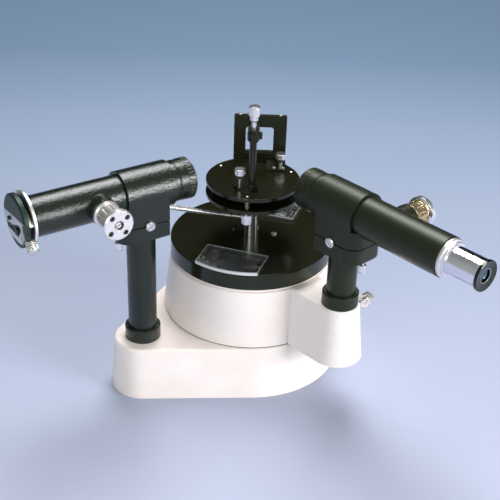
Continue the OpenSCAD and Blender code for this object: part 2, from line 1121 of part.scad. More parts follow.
// Curved vernier plates with ruled lines, on blocks that stand on the drum's ledge
module verniers()
{
    ledge = cover_under;
    color("Gainsboro")
        for (turn = [38, 218])
            rotate([0, 0, turn])
                difference()
                {
                    union()
                    {
                        translate([0, 0, ledge + 3])
                            rotate([0, 0, -20])
                                rotate_extrude(angle = 40)
                                    polygon([[76.5, 0], [83.4, 0], [83.4, 3], [78.5, 3],
                                        [76.5, 1.4]]);
                        translate([0, 0, ledge])
                            rotate([0, 0, -12])
                                rotate_extrude(angle = 24)
                                    polygon([[78.5, 0], [83, 0], [83, 3.2], [78.5, 3.2]]);
                    }
                    for (k = [-15 : 15])
                        rotate([0, 0, k])
                            translate([76, -0.12, ledge + 5.7])
                                cube([k % 5 == 0 ? 6 : 4.2, 0.24, 1]);
                }
}

// Telescope arm's fittings

module telescope_pillar()
{
    color("DarkSlateGray")
        rotate([0, 0, telescope_bearing])
            pillar(drum_top);
}

module telescope_foot_ring()
{
    color("DarkSlateGray")
        rotate([0, 0, telescope_bearing])
            foot_ring(drum_top);
}

module telescope_head()
{
    color("DarkSlateGray")
        rotate([0, 0, telescope_bearing])
        {
            head_plate();
            jack_screw_fused();
        }
}

// The telescope's jack screw is drawn as one with its head plate
module jack_screw_fused()
{
    translate([jack_offset, 0, head_under - 12])
    {
        translate([0, 0, 3])
            mirror([0, 0, 1])
                slotted_head(jack_radius, 3, 0);
        translate([0, 0, 2])
            cylinder(h = head_top - head_under + 10, r = 1.9);
    }
}

module arm_clamp_knob()
{
    color("Silver")
        rotate([0, 0, telescope_bearing])
            translate([143, 9, drum_top - 7])
                rotate([-90, 0, 0])
                {
                    cylinder(h = 20, r = 3);
                    translate([0, 0, 15])
                        cylinder(h = 4.5, r = 4.4);
                    translate([0, 0, 19.5])
                        knurled_head(7.6, 9);
                    translate([0, 0, 28.5])
                        cylinder(h = 0.8, r = 5);
                }
}

module telescope_saddle()
{
    color("DarkSlateGray")
        rotate([0, 0, telescope_bearing])
            saddle();
}

module telescope_pivot_pin()
{
    color("Silver")
        rotate([0, 0, telescope_bearing])
            pivot_pin();
}

module telescope_tube()
{
    color("DarkSlateGray")
        rotate([0, 0, telescope_bearing])
            outer_tube(telescope_tube_end);
}

module objective_cell()
{
    color("DarkSlateGray")
        rotate([0, 0, telescope_bearing])
            lens_cell(16.5);
}

module objective_lens()
{
    color("LightCyan")
        rotate([0, 0, telescope_bearing])
            lens(cell_end + 7.6, 16.5, 58, 8);
}

module telescope_levelling_screw()
{
    color("Silver")
        rotate([0, 0, telescope_bearing])
            levelling_screw();
}

module telescope_draw_tube()
{
    color("Gray")
        rotate([0, 0, telescope_bearing])
            draw_tube(140, telescope_tube_end + 0.2);
}

// Bright stepped ring on the draw tube's end, bored for the eyepiece
module draw_end_ring()
{
    near = telescope_tube_end + 0.2;
    bore = eyepiece_radius + run_gap;
    color("Silver")
        rotate([0, 0, telescope_bearing])
            translate([near, 0, axis_height])
                rotate([90, 0, 90])
                    rotate_extrude()
                        polygon([[bore, -14], [draw_radius - draw_wall - run_gap, -14],
                            [draw_radius - draw_wall - run_gap, 0], [19.2, 0], [19.4, 0.4],
                            [19.4, 2.6], [18.8, 3.4], [17.4, 3.8], [17.2, 5.6], [16.6, 6.2],
                            [bore, 6.2]]);
}

// Cross wires on a thin ring inside the draw tube
module cross_wire_ring()
{
    place = 236;
    color("Gold")
        rotate([0, 0, telescope_bearing])
            union()
            {
                difference()
                {
                    along(place, place + 4, draw_radius - draw_wall - run_gap);
                    along(place - 1, place + 5, 11);
                }
                translate([place + 1.8, -11.4, axis_height - 0.2])
                    cube([0.4, 22.8, 0.4]);
                translate([place + 1.8, -0.2, axis_height - 11.4])
                    cube([0.4, 0.4, 22.8]);
            }
}

module telescope_focus_knob()
{
    color("Silver")
        rotate([0, 0, telescope_bearing])
            focus_knob(52);
}

module eyepiece_barrel()
{
    color("Silver")
        rotate([0, 0, telescope_bearing])
            difference()
            {
                along(248, cap_place, eyepiece_radius);
                along(247, cap_place + 1, eyepiece_radius - 1.5);
            }
}

// Thin black cap with a spigot in the barrel and a shallow dished face
module eyepiece_cap()
{
    color("DarkSlateGray")
        rotate([0, 0, telescope_bearing])
            translate([cap_place, 0, axis_height])
                rotate([90, 0, 90])
                    rotate_extrude()
                        polygon([[eye_lens_radius + run_gap, -6], [eyepiece_radius - 1.55, -6],
                            [eyepiece_radius - 1.55, 0], [14.9, 0], [15.4, 0.5], [15.4, 2.8],
                            [14.7, 3.3], [12, 2.8], [9, 2.4], [6.6, 2.2], [6.6, 1.3],
                            [eye_lens_radius + run_gap, 1.3]]);
}

module eyepiece_lenses()
{
    color("LightCyan")
        rotate([0, 0, telescope_bearing])
        {
            lens(cap_place - 1.4, eye_lens_radius, 22, 5);
            lens(252, eyepiece_radius - 1.55, 40, 5.4);
        }
}

// Divided circle, hub and lever

module divided_circle()
{
    low = cover_under + 3;
    color("Gainsboro")
        difference()
        {
            translate([0, 0, low])
                rotate_extrude()
                    polygon([[hub_radius + run_gap, 0], [76.1, 0], [76.1, 1.4], [74, 3],
                        [hub_radius + run_gap, 3]]);
            // Ruled lines every five degrees
            for (k = [0 : 71])
                rotate([0, 0, k * 5])
                    translate([k % 2 == 0 ? 68 : 71, -0.15, low + 2.7])
                        cube([9, 0.3, 1]);
            // Lightening holes between the spokes
            for (turn = [0 : 60 : 300])
                rotate([0, 0, turn])
                    translate([43, 0, low - 1])
                        cylinder(h = 6, r = 13);
        }
}

module table_hub()
{
    color("Silver")
        difference()
        {
            union()
            {
                rotate_extrude()
                    polygon([[0, spindle_top - 32], [6, spindle_top - 32], [7, spindle_top - 31],
                        [7, spindle_top + 0.6], [20, spindle_top + 2], [24, spindle_top + 6],
                        [24, cover_under + 3], [hub_radius, cover_under + 3],
                        [hub_radius, hub_top - 1], [hub_radius - 0.8, hub_top], [0, hub_top]]);
                // Small pad that the lever is screwed into
                along_lever()
                    cylinder(h = 11, r = 3.6);
            }
            translate([0, 0, hub_top - 58])
                cylinder(h = 70, r = rod_radius + run_gap);
            along_lever()
                cylinder(h = 30, r = 1.6 + run_gap);
        }
}

// Line of the lever, from the hub's axis outwards and up
module along_lever()
{
    translate([0, 0, lever_height])
        rotate([0, lever_lean, lever_bearing])
            children();
}

// Tapered lever, screwed through the hub to lock the rod
module table_lever()
{
    color("Silver")
        along_lever()
        {
            translate([0, 0, 7.1])
                cylinder(h = 8, r = 1.6);
            translate([0, 0, 11.2])
                cylinder(h = 74, r1 = 1.8, r2 = 2.7);
            translate([0, 0, 85.2])
                cylinder(h = 16, r = 2.7);
            translate([0, 0, 101.2])
                cylinder(h = 1, r1 = 2.7, r2 = 1.9);
        }
}

module table_rod()
{
    color("Silver")
        union()
        {
            translate([0, 0, hub_top - 48])
                cylinder(h = lower_under - hub_top + 48, r = rod_radius);
            translate([0, 0, lower_under - 9])
                cylinder(h = 3, r = 8.4);
            translate([0, 0, lower_under - 0.2])
                cylinder(h = 3, r = 4);
        }
}

// Prism table

module at_studs()
{
    for (turn = stud_bearings)
        rotate([0, 0, turn])
            translate([stud_circle, 0, 0])
                children();
}

module plate_disc(low)
{
    translate([0, 0, low])
        rotate_extrude()
            polygon([[0, 0], [plate_radius - 0.5, 0], [plate_radius, 0.5],
                [plate_radius, plate_thickness - 0.6], [plate_radius - 0.6, plate_thickness],
                [0, plate_thickness]]);
}

module table_lower_plate()
{
    color("DarkSlateGray")
        difference()
        {
            union()
            {
                plate_disc(lower_under);
                translate([0, 0, lower_under - 6])
                    cylinder(h = 7, r = 13);
            }
            translate([0, 0, lower_under - 7])
                cylinder(h = 7.1, r = rod_radius + run_gap);
            translate([0, 0, lower_under - 1])
                cylinder(h = 4, r = 4 + run_gap);
            at_studs()
                translate([0, 0, lower_under - 1])
                    cylinder(h = 8, r = 2.1);
        }
}

module table_upper_plate()
{
    color("DarkSlateGray")
        difference()
        {
            plate_disc(upper_under);
            at_studs()
                translate([0, 0, upper_under - 1])
                    cylinder(h = 8, r = 1.5 + run_gap);
            // Tapped holes for the post and the thumb screws
            translate([post_spot[0], post_spot[1], upper_under + 1])
                cylinder(h = 8, r = 2.5 + run_gap);
            translate([post_thumb_spot[0], post_thumb_spot[1], upper_under + 1])
                cylinder(h = 8, r = 1.5 + run_gap);
            rotate([0, 0, holder_turn])
                translate([28.7, 28.6, upper_under + 1])
                    cylinder(h = 8, r = 1.5 + run_gap);
            // Engraved rings and lines that help to place a prism
            for (radius = [15, 27, 36])
                translate([0, 0, table_height - 0.25])
                    difference()
                    {
                        cylinder(h = 1, r = radius + 0.15);
                        translate([0, 0, -1])
                            cylinder(h = 3, r = radius - 0.15);
                    }
            for (turn = stud_bearings)
                rotate([0, 0, turn])
                    translate([4, -0.15, table_height - 0.25])
                        cube([35, 0.3, 1]);
        }
}

module levelling_studs()
{
    color("Silver")
        at_studs()
        {
            translate([0, 0, lower_under - 8.4])
                cylinder(h = table_height + 0.3 - lower_under + 8.4, r = 1.5);
            translate([0, 0, table_height + 0.3])
                intersection()
                {
                    cylinder(h = 1, r = 1.5);
                    translate([0, 0, -1.6])
                        sphere(r = 2.2);
                }
        }
}

module levelling_nut(index)
{
    rotate([0, 0, stud_bearings[index]])
        translate([stud_circle, 0, nut_low])
            difference()
            {
                union()
                {
                    knurled_head(nut_radius, nut_height);
                    translate([0, 0, nut_height - 0.1])
                        cylinder(h = 1.4, r = 3.6);
                }
                // Blind hole, closed below
                translate([0, 0, 2])
                    cylinder(h = nut_height + 2, r = 1.9);
            }
}

module levelling_nut_front()
{
    color("Silver")
        levelling_nut(0);
}

module levelling_nut_right()
{
    color("Silver")
        levelling_nut(1);
}

module levelling_nut_back()
{
    color("Silver")
        levelling_nut(2);
}

// Spring path: a straight rise, a quarter bend into the winding, the curls, and the same again.
// Each entry is [angle, height, tilt]; tilt is the wire's slope above the level.
spring_rise = 2 * wire_radius;
bend_radius = 0.6;
coil_span = plate_gap - 2 * (spring_rise + bend_radius);
bend_turn = bend_radius / coil_radius * 180 / PI;
coil_slope = atan(coil_span / spring_curls / (2 * PI * coil_radius));
spring_path = concat(
    [for (s = [0, 1]) [0, s * spring_rise, 90]],
    [for (s = [22.5 : 22.5 : 67.5]) [bend_turn * (1 - cos(s)), spring_rise + bend_radius * sin(s),
        90 - s]],
    [for (k = [0 : 8 * spring_curls]) [bend_turn + k * 45,
        spring_rise + bend_radius + coil_span * k / 8 / spring_curls, coil_slope]],
    [for (s = [67.5 : -22.5 : 22.5]) [bend_turn + 360 * spring_curls + bend_turn * cos(s),
        plate_gap - spring_rise - bend_radius * sin(s), 90 - s]],
    [for (s = [1, 0]) [2 * bend_turn + 360 * spring_curls, plate_gap - s * spring_rise, 90]]);
spring_sides = 6;

function path_point(entry) = [coil_radius * cos(entry[0]), coil_radius * sin(entry[0]), entry[1]];

// A point of the wire's skin: out from the centre line, or square to the wire in its upright plane
function skin_point(entry, side) =
    let (a = side * 360 / spring_sides,
        out = wire_radius * cos(a),
        up = wire_radius * sin(a),
        flow = -up * sin(entry[2]))
    [(coil_radius + out) * cos(entry[0]) - flow * sin(entry[0]),
        (coil_radius + out) * sin(entry[0]) + flow * cos(entry[0]),
        entry[1] + up * cos(entry[2])];

spring_points = [for (entry = spring_path) for (side = [0 : spring_sides - 1])
    skin_point(entry, side)];
spring_rings = len(spring_path);
spring_faces = concat(
    [[for (side = [0 : spring_sides - 1]) side]],
    [for (ring = [0 : spring_rings - 2]) for (side = [0 : spring_sides - 1])
        let (next = (side + 1) % spring_sides, a = ring * spring_sides, b = a + spring_sides)
        each [[a + side, b + side, b + next], [a + side, b + next, a + next]]],
    [[for (side = [spring_sides - 1 : -1 : 0]) (spring_rings - 1) * spring_sides + side]]);

// Least gap of the wire to itself, on centre points more than half a curl apart
spring_gap = min([for (i = [0 : spring_rings - 1]) for (j = [i + 5 : spring_rings - 1])
    if (j < spring_rings) norm(path_point(spring_path[i]) - path_point(spring_path[j]))])
    - 2 * wire_radius;
echo(spring_least_gap_mm = spring_gap);

module levelling_springs()
{
    color("Silver")
        for (turn = stud_bearings)
            rotate([0, 0, turn])
                translate([stud_circle, 0, lower_top])
                    polyhedron(points = spring_points, faces = spring_faces, convexity = 10);
}

// Foot of the prism clamp: two rounded ends joined by a bar, under the post and its thumb screw
module foot_outline()
{
    gap = norm(post_thumb_spot - post_spot);
    bearing = atan2(post_thumb_spot[1] - post_spot[1], post_thumb_spot[0] - post_spot[0]);
    translate(post_spot)
        rotate(bearing)
        {
            circle(r = 6.6);
            translate([gap, 0])
                circle(r = 6.6);
            translate([0, -6.5])
                square([gap, 13]);
        }
}

module prism_clamp_post()
{
    color("DarkSlateGray")
        difference()
        {
            union()
            {
                translate([0, 0, table_height])
                    linear_extrude(height = 2.5)
                        foot_outline();
                translate([post_spot[0], post_spot[1], 0])
                {
                    translate([0, 0, table_height - 3])
                        cylinder(h = 4, r = 2.5);
                    rotate_extrude()
                        polygon([[0, table_height + 1], [5.2, table_height + 1],
                            [5.2, table_height + 4.5], [post_radius, table_height + 6],
                            [post_radius, 268], [2.6, 268], [2.6, 282], [0, 282]]);
                }
            }
            translate([post_spot[0], post_spot[1], 275])
                cylinder(h = 9, r = 1.5 + run_gap);
            translate([post_thumb_spot[0], post_thumb_spot[1], table_height - 1])
                cylinder(h = 8, r = 1.5 + run_gap);
        }
}

// Arm of the prism clamp: a stepped sleeve on the post and a flat finger with a pressing pad
module prism_clamp_arm()
{
    color("DarkSlateGray")
        translate([post_spot[0], post_spot[1], 0])
            rotate([0, 0, 53])
                difference()
                {
                    union()
                    {
                        rotate_extrude()
                            polygon([[0, 268.2], [5, 268.2], [6.4, 270.5], [6.4, 278],
                                [5.4, 278.6], [5.4, 279.4], [6, 280], [6, 282.4], [0, 282.4]]);
                        translate([0, -4.2, 271])
                            cube([26, 8.4, 4.2]);
                        translate([26, 0, 271])
                            cylinder(h = 4.2, r = 4.2);
                        translate([26, 0, 266.5])
                            cylinder(h = 5, r1 = 3, r2 = 2);
                        translate([-2, -8.8, 271.5])
                            cube([5, 5, 6]);
                    }
                    translate([0, 0, 260])
                        cylinder(h = 30, r = 2.6 + run_gap);
                }
}

module prism_clamp_screw()
{
    color("Silver")
        translate([post_spot[0], post_spot[1], 282.6])
        {
            translate([0, 0, -7])
                cylinder(h = 8, r = 1.5);
            cylinder(h = 6.8, r = 2.35);
            translate([0, 0, 6.8])
                cylinder(h = 2.2, r1 = 2.35, r2 = 4.2);
            translate([0, 0, 9])
                cylinder(h = 4.4, r = 4.2);
            translate([0, 0, 13.4])
                knurled_head(5.6, 10.4);
        }
}

module post_thumb_screw()
{
    color("Silver")
        translate([post_thumb_spot[0], post_thumb_spot[1], table_height])
        {
            translate([0, 0, -2.5])
                cylinder(h = 6, r = 1.5);
            translate([0, 0, 2.6])
                thumb_screw(2.4, 7.4, 4.6, 5.5, 6.6);
        }
}

// Grating holder: a square frame on an angle foot, near the table's back edge
module grating_holder()
{
    color("DarkSlateGray")
        rotate([0, 0, holder_turn])
            difference()
            {
                union()
                {
                    translate([0, 48.4, table_height])
                        rotate([90, 0, 0])
                            linear_extrude(height = 4)
                                difference()
                                {
                                    polygon([[-22.4, 0], [34.2, 0], [34.2, 51.2], [33.2, 52.2],
                                        [-21.4, 52.2], [-22.4, 51.2]]);
                                    translate([-9.6, 10.4])
                                        square([30, 25.4]);
                                    translate([-6.6, 10.4])
                                        square([24, 28.4]);
                                    translate([-6.6, 35.8])
                                        circle(r = 3);
                                    translate([17.4, 35.8])
                                        circle(r = 3);
                                }
                    // Foot that lies on the table: a strip along the frame and a wide tongue
                    translate([-22.4, 39.4, table_height])
                        cube([56.6, 5.5, 2.5]);
                    translate([14, 17, table_height])
                        cube([20.2, 28, 2.5]);
                    // Ledge and side guides that carry the grating
                    translate([-12, 42.9, table_height + 6])
                        cube([35, 1.6, 3]);
                }
                translate([28.7, 28.6, table_height - 1])
                    cylinder(h = 8, r = 1.5 + run_gap);
                for (x = [21.9, 31.8])
                    translate([x, 21.1, table_height + 1])
                        cylinder(h = 8, r = 1.15);
                for (x = [-16, 27])
                    translate([x, 46.4, table_height + 49])
                        cylinder(h = 8, r = 1.05);
            }
}

module grating_thumb_screw()
{
    color("Silver")
        rotate([0, 0, holder_turn])
            translate([28.7, 28.6, table_height])
            {
                translate([0, 0, -2.5])
                    cylinder(h = 6, r = 1.5);
                translate([0, 0, 2.6])
                    thumb_screw(2.3, 2.6, 5, 5.3, 6);
            }
}

module grating_screws()
{
    color("Silver")
        rotate([0, 0, holder_turn])
        {
            for (x = [21.9, 31.8])
                translate([x, 21.1, table_height + 1])
                {
                    cylinder(h = 1.6, r = 1.1);
                    translate([0, 0, 1.5])
                        slotted_head(1.8, 0.8, 15);
                }
            for (x = [-16, 27])
                translate([x, 46.4, table_height + 49])
                {
                    cylinder(h = 3.3, r = 1);
                    translate([0, 0, 3.2])
                        slotted_head(1.9, 1.7, 50);
                }
        }
}

base_casting();
base_plate();
main_spindle();
collimator_pillar();
collimator_foot_ring();
collimator_head();
collimator_jack_screw();
collimator_saddle();
collimator_pivot_pin();
collimator_tube();
collimator_lens_cell();
collimator_lens();
collimator_levelling_screw();
collimator_draw_tube();
slit_flange();
collimator_focus_knob();
slit_head();
slit_fixed_jaw();
slit_moving_jaw();
slit_screw();
drum_casting();
dial_cover();
dial_windows();
dial_screws();
verniers();
telescope_pillar();
telescope_foot_ring();
telescope_head();
arm_clamp_knob();
telescope_saddle();
telescope_pivot_pin();
telescope_tube();
objective_cell();
objective_lens();
telescope_levelling_screw();
telescope_draw_tube();
draw_end_ring();
cross_wire_ring();
telescope_focus_knob();
eyepiece_barrel();
eyepiece_cap();
eyepiece_lenses();
divided_circle();
table_hub();
table_lever();
table_rod();
table_lower_plate();
levelling_springs();
table_upper_plate();
levelling_studs();
levelling_nut_front();
levelling_nut_right();
levelling_nut_back();
prism_clamp_post();
prism_clamp_arm();
prism_clamp_screw();
post_thumb_screw();
grating_holder();
grating_thumb_screw();
grating_screws();
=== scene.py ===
import math

import bpy
import numpy as np
from mathutils import Matrix, Vector


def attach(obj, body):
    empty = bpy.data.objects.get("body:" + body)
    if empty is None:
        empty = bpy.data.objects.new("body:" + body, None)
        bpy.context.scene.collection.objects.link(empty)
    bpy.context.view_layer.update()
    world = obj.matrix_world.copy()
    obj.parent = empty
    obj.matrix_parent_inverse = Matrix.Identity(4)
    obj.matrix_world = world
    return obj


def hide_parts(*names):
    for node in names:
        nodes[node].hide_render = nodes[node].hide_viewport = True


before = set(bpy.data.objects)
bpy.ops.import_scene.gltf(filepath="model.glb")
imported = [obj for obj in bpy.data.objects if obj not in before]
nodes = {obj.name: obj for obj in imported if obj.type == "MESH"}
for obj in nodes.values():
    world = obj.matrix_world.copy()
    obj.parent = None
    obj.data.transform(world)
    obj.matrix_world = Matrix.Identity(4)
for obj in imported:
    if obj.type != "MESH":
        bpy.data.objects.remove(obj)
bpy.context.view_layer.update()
print("frame loaded:", len(nodes), "parts")


# Camera at the photograph's viewing angle

cameraSettings = {
    "azimuth": -34.2,         # degrees round the object, 0 looks along +Y
    "elevation": 31.05,       # degrees above the bench
    "distance": 1.1944,       # metres from the target
    "target": (0.0, 0.0, 0.110),
    "roll": 2.12,             # degrees, the photograph leans a little
    "lens": 77.56,            # millimetres
    "sensor": 36,             # millimetres
    "shiftY": 0.0233,         # the photograph's frame sits a little high
}


def makeCamera(settings):
    az, el, roll = (math.radians(settings[k]) for k in ("azimuth", "elevation", "roll"))
    back = Vector((math.sin(az) * math.cos(el), -math.cos(az) * math.cos(el), math.sin(el)))
    right = Vector((math.cos(az), math.sin(az), 0))
    up = back.cross(right)
    tiltedRight = math.cos(roll) * right + math.sin(roll) * up
    tiltedUp = math.cos(roll) * up - math.sin(roll) * right
    data = bpy.data.cameras.new("camera")
    data.lens = settings["lens"]
    data.sensor_width = settings["sensor"]
    data.shift_y = settings["shiftY"]
    data.clip_start = 0.02
    data.clip_end = 50
    camera = bpy.data.objects.new("camera", data)
    place = Vector(settings["target"]) + back * settings["distance"]
    axes = Matrix((tiltedRight, tiltedUp, back)).transposed().to_4x4()
    camera.matrix_world = Matrix.Translation(place) @ axes
    bpy.context.scene.collection.objects.link(camera)
    bpy.context.scene.camera = camera


makeCamera(cameraSettings)
print("camera placed")


# Small helpers for materials

def srgb(hexColour):
    # sRGB hex to linear: the low part is straight, the rest a power curve
    parts = [int(hexColour[i:i + 2], 16) / 255 for i in (1, 3, 5)]
    return [c / 12.92 if c <= 0.04045 else ((c + 0.055) / 1.055) ** 2.4 for c in parts] + [1.0]


def addNode(tree, kind, inputs={}, **settings):
    # one node; an input is a value or another node's output socket
    node = tree.nodes.new(kind)
    for name, value in settings.items():
        setattr(node, name, value)
    for name, value in inputs.items():
        if isinstance(value, bpy.types.NodeSocket):
            tree.links.new(value, node.inputs[name])
        else:
            node.inputs[name].default_value = value
    return node


def newMaterial(name, inputs):
    material = bpy.data.materials.new(name)
    material.use_nodes = True
    tree = material.node_tree
    shader = tree.nodes["Principled BSDF"]
    for socket, value in inputs.items():
        shader.inputs[socket].default_value = value
    return material, tree, shader


def objectPoint(tree, centre=(0, 0, 0), turn=(0, 0, 0)):
    # object coordinates in metres, measured from a piece's own centre with its axis turned to Z
    coordinates = addNode(tree, "ShaderNodeTexCoord").outputs["Object"]
    return addNode(tree, "ShaderNodeMapping", {
        "Vector": coordinates, "Location": centre, "Rotation": turn}, vector_type="TEXTURE").outputs[0]


def ramp(tree, value, low, high, outLow, outHigh):
    # straight-line map of a value, held at both ends
    return addNode(tree, "ShaderNodeMapRange", {
        "Value": value, "From Min": low, "From Max": high, "To Min": outLow, "To Max": outHigh,
    }).outputs[0]


def blendColours(tree, share, first, second):
    # from the first colour to the second; 6, 7 and 2 are the Mix node's colour sockets
    return addNode(tree, "ShaderNodeMix", {0: share, 6: first, 7: second}, data_type="RGBA").outputs[2]


def heightAndRadius(tree, point):
    # distance along the Z axis of a point, and distance from it
    parts = addNode(tree, "ShaderNodeSeparateXYZ", {"Vector": point})
    flat = addNode(tree, "ShaderNodeCombineXYZ", {"X": parts.outputs[0], "Y": parts.outputs[1]})
    radius = addNode(tree, "ShaderNodeVectorMath", {0: flat.outputs[0]}, operation="LENGTH")
    return parts.outputs[2], radius.outputs["Value"]


def noise(tree, point, sizeMm, detail=2.0, rough=0.5):
    # one noise cell measures about sizeMm
    return addNode(tree, "ShaderNodeTexNoise", {
        "Vector": point, "Scale": 1000 / sizeMm, "Detail": detail, "Roughness": rough,
    }).outputs[0]


def roundedEdge(tree, radiusMm):
    # a normal that rounds sharp edges, so that they catch a thin line of light
    return addNode(tree, "ShaderNodeBevel", {"Radius": radiusMm / 1000}, samples=4).outputs[0]


def bumpFrom(tree, shader, height, depthMm, under=None):
    bump = addNode(tree, "ShaderNodeBump", {"Height": height, "Distance": depthMm / 1000})
    if under is not None:
        tree.links.new(under, bump.inputs["Normal"])
    tree.links.new(bump.outputs[0], shader.inputs["Normal"])
    return bump.outputs[0]


def grimeIn(tree, reachMm, low=0.25, high=0.7, onlyItself=True):
    # painted shade: 1 in deep holes, grooves and seams, where nearby surfaces block the light, 0 on open
    # faces
    openness = addNode(tree, "ShaderNodeAmbientOcclusion", {"Distance": reachMm / 1000},
                       samples=8, only_local=onlyItself)
    return ramp(tree, openness.outputs["AO"], low, high, 1, 0)


# Materials, each from what the real one is

def creamStoveEnamel():
    # sprayed and baked enamel on cast iron: warm white, soft gloss, a faint orange peel
    look = {
        "colour": "#F8EFEA",
        "shade": "#F2E6E0",
        "blotchMm": 55,
        "peelMm": 1.6,
        "peelDepthMm": 0.014,
        "edgeMm": 0.5,
        "grimeAndShadeColour": "#D9C6BC",
        "grimeAndShadeMm": 9,
        "grimeMost": 0.35,        # how much of the grime colour the worst spots show
        "seamShadeColour": "#4A3A2B",
        "seamShadeMm": 2.4,
    }
    material, tree, shader = newMaterial("creamStoveEnamel", {
        "Roughness": 0.36, "IOR": 1.5, "Coat Weight": 0.2, "Coat Roughness": 0.14})
    point = objectPoint(tree)
    blotch = ramp(tree, noise(tree, point, look["blotchMm"]), 0.35, 0.65, 0, 1)
    colour = blendColours(tree, blotch, srgb(look["colour"]), srgb(look["shade"]))
    grime = ramp(tree, noise(tree, point, look["grimeAndShadeMm"], 4.0, 0.6), 0.62, 0.85, 0, look["grimeMost"])
    colour = blendColours(tree, grime, colour, srgb(look["grimeAndShadeColour"]))
    # painted shade: seams and gaps where other parts come close are darkened toward a brown
    seamShade = grimeIn(tree, look["seamShadeMm"], 0.3, 0.62, onlyItself=False)
    colour = blendColours(tree, seamShade, colour, srgb(look["seamShadeColour"]))
    tree.links.new(colour, shader.inputs["Base Color"])
    peel = noise(tree, point, look["peelMm"], 1.0)
    bumpFrom(tree, shader, peel, look["peelDepthMm"], roundedEdge(tree, look["edgeMm"]))
    return material


def crinkleEnamel(name, colour, speck, tint, roughness, crinkleMm, depthMm):
    # black crackle-finish enamel: it shrinks as it bakes into small smooth lumps that break up the gloss
    edgeMm = 0.5
    material, tree, shader = newMaterial(name, {
        "Roughness": roughness, "IOR": 1.52, "Specular Tint": srgb(tint),
        "Coat Weight": 0.1, "Coat Roughness": roughness})
    point = objectPoint(tree)
    cells = addNode(tree, "ShaderNodeTexVoronoi", {
        "Vector": point, "Scale": 1000 / crinkleMm, "Smoothness": 0.7}, feature="SMOOTH_F1")
    fine = noise(tree, point, crinkleMm * 0.8, 2.0)
    tone = blendColours(tree, ramp(tree, fine, 0.4, 0.7, 0, 1), srgb(colour), srgb(speck))
    tree.links.new(tone, shader.inputs["Base Color"])
    lumps = bumpFrom(tree, shader, cells.outputs["Distance"], -depthMm, roundedEdge(tree, edgeMm))
    rough = bumpFrom(tree, shader, fine, depthMm, under=lumps)
    tree.links.new(rough, shader.inputs["Coat Normal"])
    return material


def glossEnamel(name, colour, roughness):
    # smooth black enamel on a machined plate: deep gloss with a faint wave and a little dust
    look = {"waveMm": 14, "waveDepthMm": 0.02, "dustMm": 1.1, "dustColour": "#24231A", "edgeMm": 0.4}
    material, tree, shader = newMaterial(name, {
        "IOR": 1.5, "Specular Tint": srgb("#CCDFC2"), "Coat Weight": 0.25, "Coat Roughness": 0.1})
    point = objectPoint(tree)
    dust = noise(tree, point, look["dustMm"], 4.0, 0.7)
    tree.links.new(ramp(tree, dust, 0.3, 0.8, roughness, roughness + 0.1), shader.inputs["Roughness"])
    tone = blendColours(tree, ramp(tree, dust, 0.66, 0.8, 0, 1), srgb(colour), srgb(look["dustColour"]))
    tree.links.new(tone, shader.inputs["Base Color"])
    wave = noise(tree, point, look["waveMm"])
    bumpFrom(tree, shader, wave, look["waveDepthMm"], roundedEdge(tree, look["edgeMm"]))
    return material


def turnedMetal(name, colour, roughness, line, ringMm=0.5, depthMm=0.004, metallic=1.0, grimeAndShadeMm=0):
    # lathe-turned metal: rings round the axis catch the light in streaks
    look = {"grimeAndShadeColour": "#1C1711", "smearMm": 6, "edgeMm": 0.25}
    material, tree, shader = newMaterial(name, {"Base Color": srgb(colour), "Metallic": metallic})
    # painted shade: when a reach is given, holes and recesses darken toward a near-black brown
    if grimeAndShadeMm:
        tone = blendColours(tree, grimeIn(tree, grimeAndShadeMm), srgb(colour), srgb(look["grimeAndShadeColour"]))
        tree.links.new(tone, shader.inputs["Base Color"])
    point = objectPoint(tree, **line)
    height, radius = heightAndRadius(tree, point)
    along = addNode(tree, "ShaderNodeMath", {0: radius, 1: height}, operation="ADD")
    lines = addNode(tree, "ShaderNodeTexNoise", {
        "W": along.outputs[0], "Scale": 1000 / ringMm, "Detail": 3.0}, noise_dimensions="1D")
    smear = noise(tree, point, look["smearMm"])
    tree.links.new(ramp(tree, smear, 0.3, 0.7, roughness, roughness + 0.1), shader.inputs["Roughness"])
    bumpFrom(tree, shader, lines.outputs[0], depthMm, roundedEdge(tree, look["edgeMm"]))
    return material


def platedSteel(name, colour, roughness, metallic=1.0, grimeAndShadeMm=0):
    # small plated pieces: bright with fine scratches and handling marks, with painted shade in the knurls
    look = {"grimeAndShadeColour": "#55504A", "marksMm": 3.2, "marksDepthMm": 0.001, "edgeMm": 0.2}
    material, tree, shader = newMaterial(name, {"Base Color": srgb(colour), "Metallic": metallic})
    # painted shade: when a reach is given, knurls and recesses darken toward grey-brown
    if grimeAndShadeMm:
        tone = blendColours(tree, grimeIn(tree, grimeAndShadeMm), srgb(colour), srgb(look["grimeAndShadeColour"]))
        tree.links.new(tone, shader.inputs["Base Color"])
    point = objectPoint(tree)
    marks = noise(tree, point, look["marksMm"], 4.0, 0.6)
    tree.links.new(ramp(tree, marks, 0.3, 0.75, roughness, roughness + 0.1), shader.inputs["Roughness"])
    bumpFrom(tree, shader, marks, look["marksDepthMm"], roundedEdge(tree, look["edgeMm"]))
    return material


def splitAlong(material, height, border, below, above):
    # one colour below a given distance along the axis, another above it
    softStep = 0.0002
    tree = material.node_tree
    share = ramp(tree, height, border, border + softStep, 0, 1)
    tone = blendColours(tree, share, srgb(below), srgb(above))
    tree.links.new(tone, tree.nodes["Principled BSDF"].inputs["Base Color"])
    return material


def opticalGlass():
    # polished crown glass with a thin coating, which gives a bluish gleam
    wipeMm = 9                                     # faint marks of wiping
    material, tree, shader = newMaterial("opticalGlass", {
        "Base Color": srgb("#EAF4F6"), "IOR": 1.52, "Transmission Weight": 1.0,
        "Coat Weight": 0.6, "Coat Roughness": 0.02, "Coat Tint": srgb("#B9D8F2")})
    point = objectPoint(tree)
    wiped = ramp(tree, noise(tree, point, wipeMm), 0.3, 0.7, 0.01, 0.05)
    tree.links.new(wiped, shader.inputs["Roughness"])
    return material


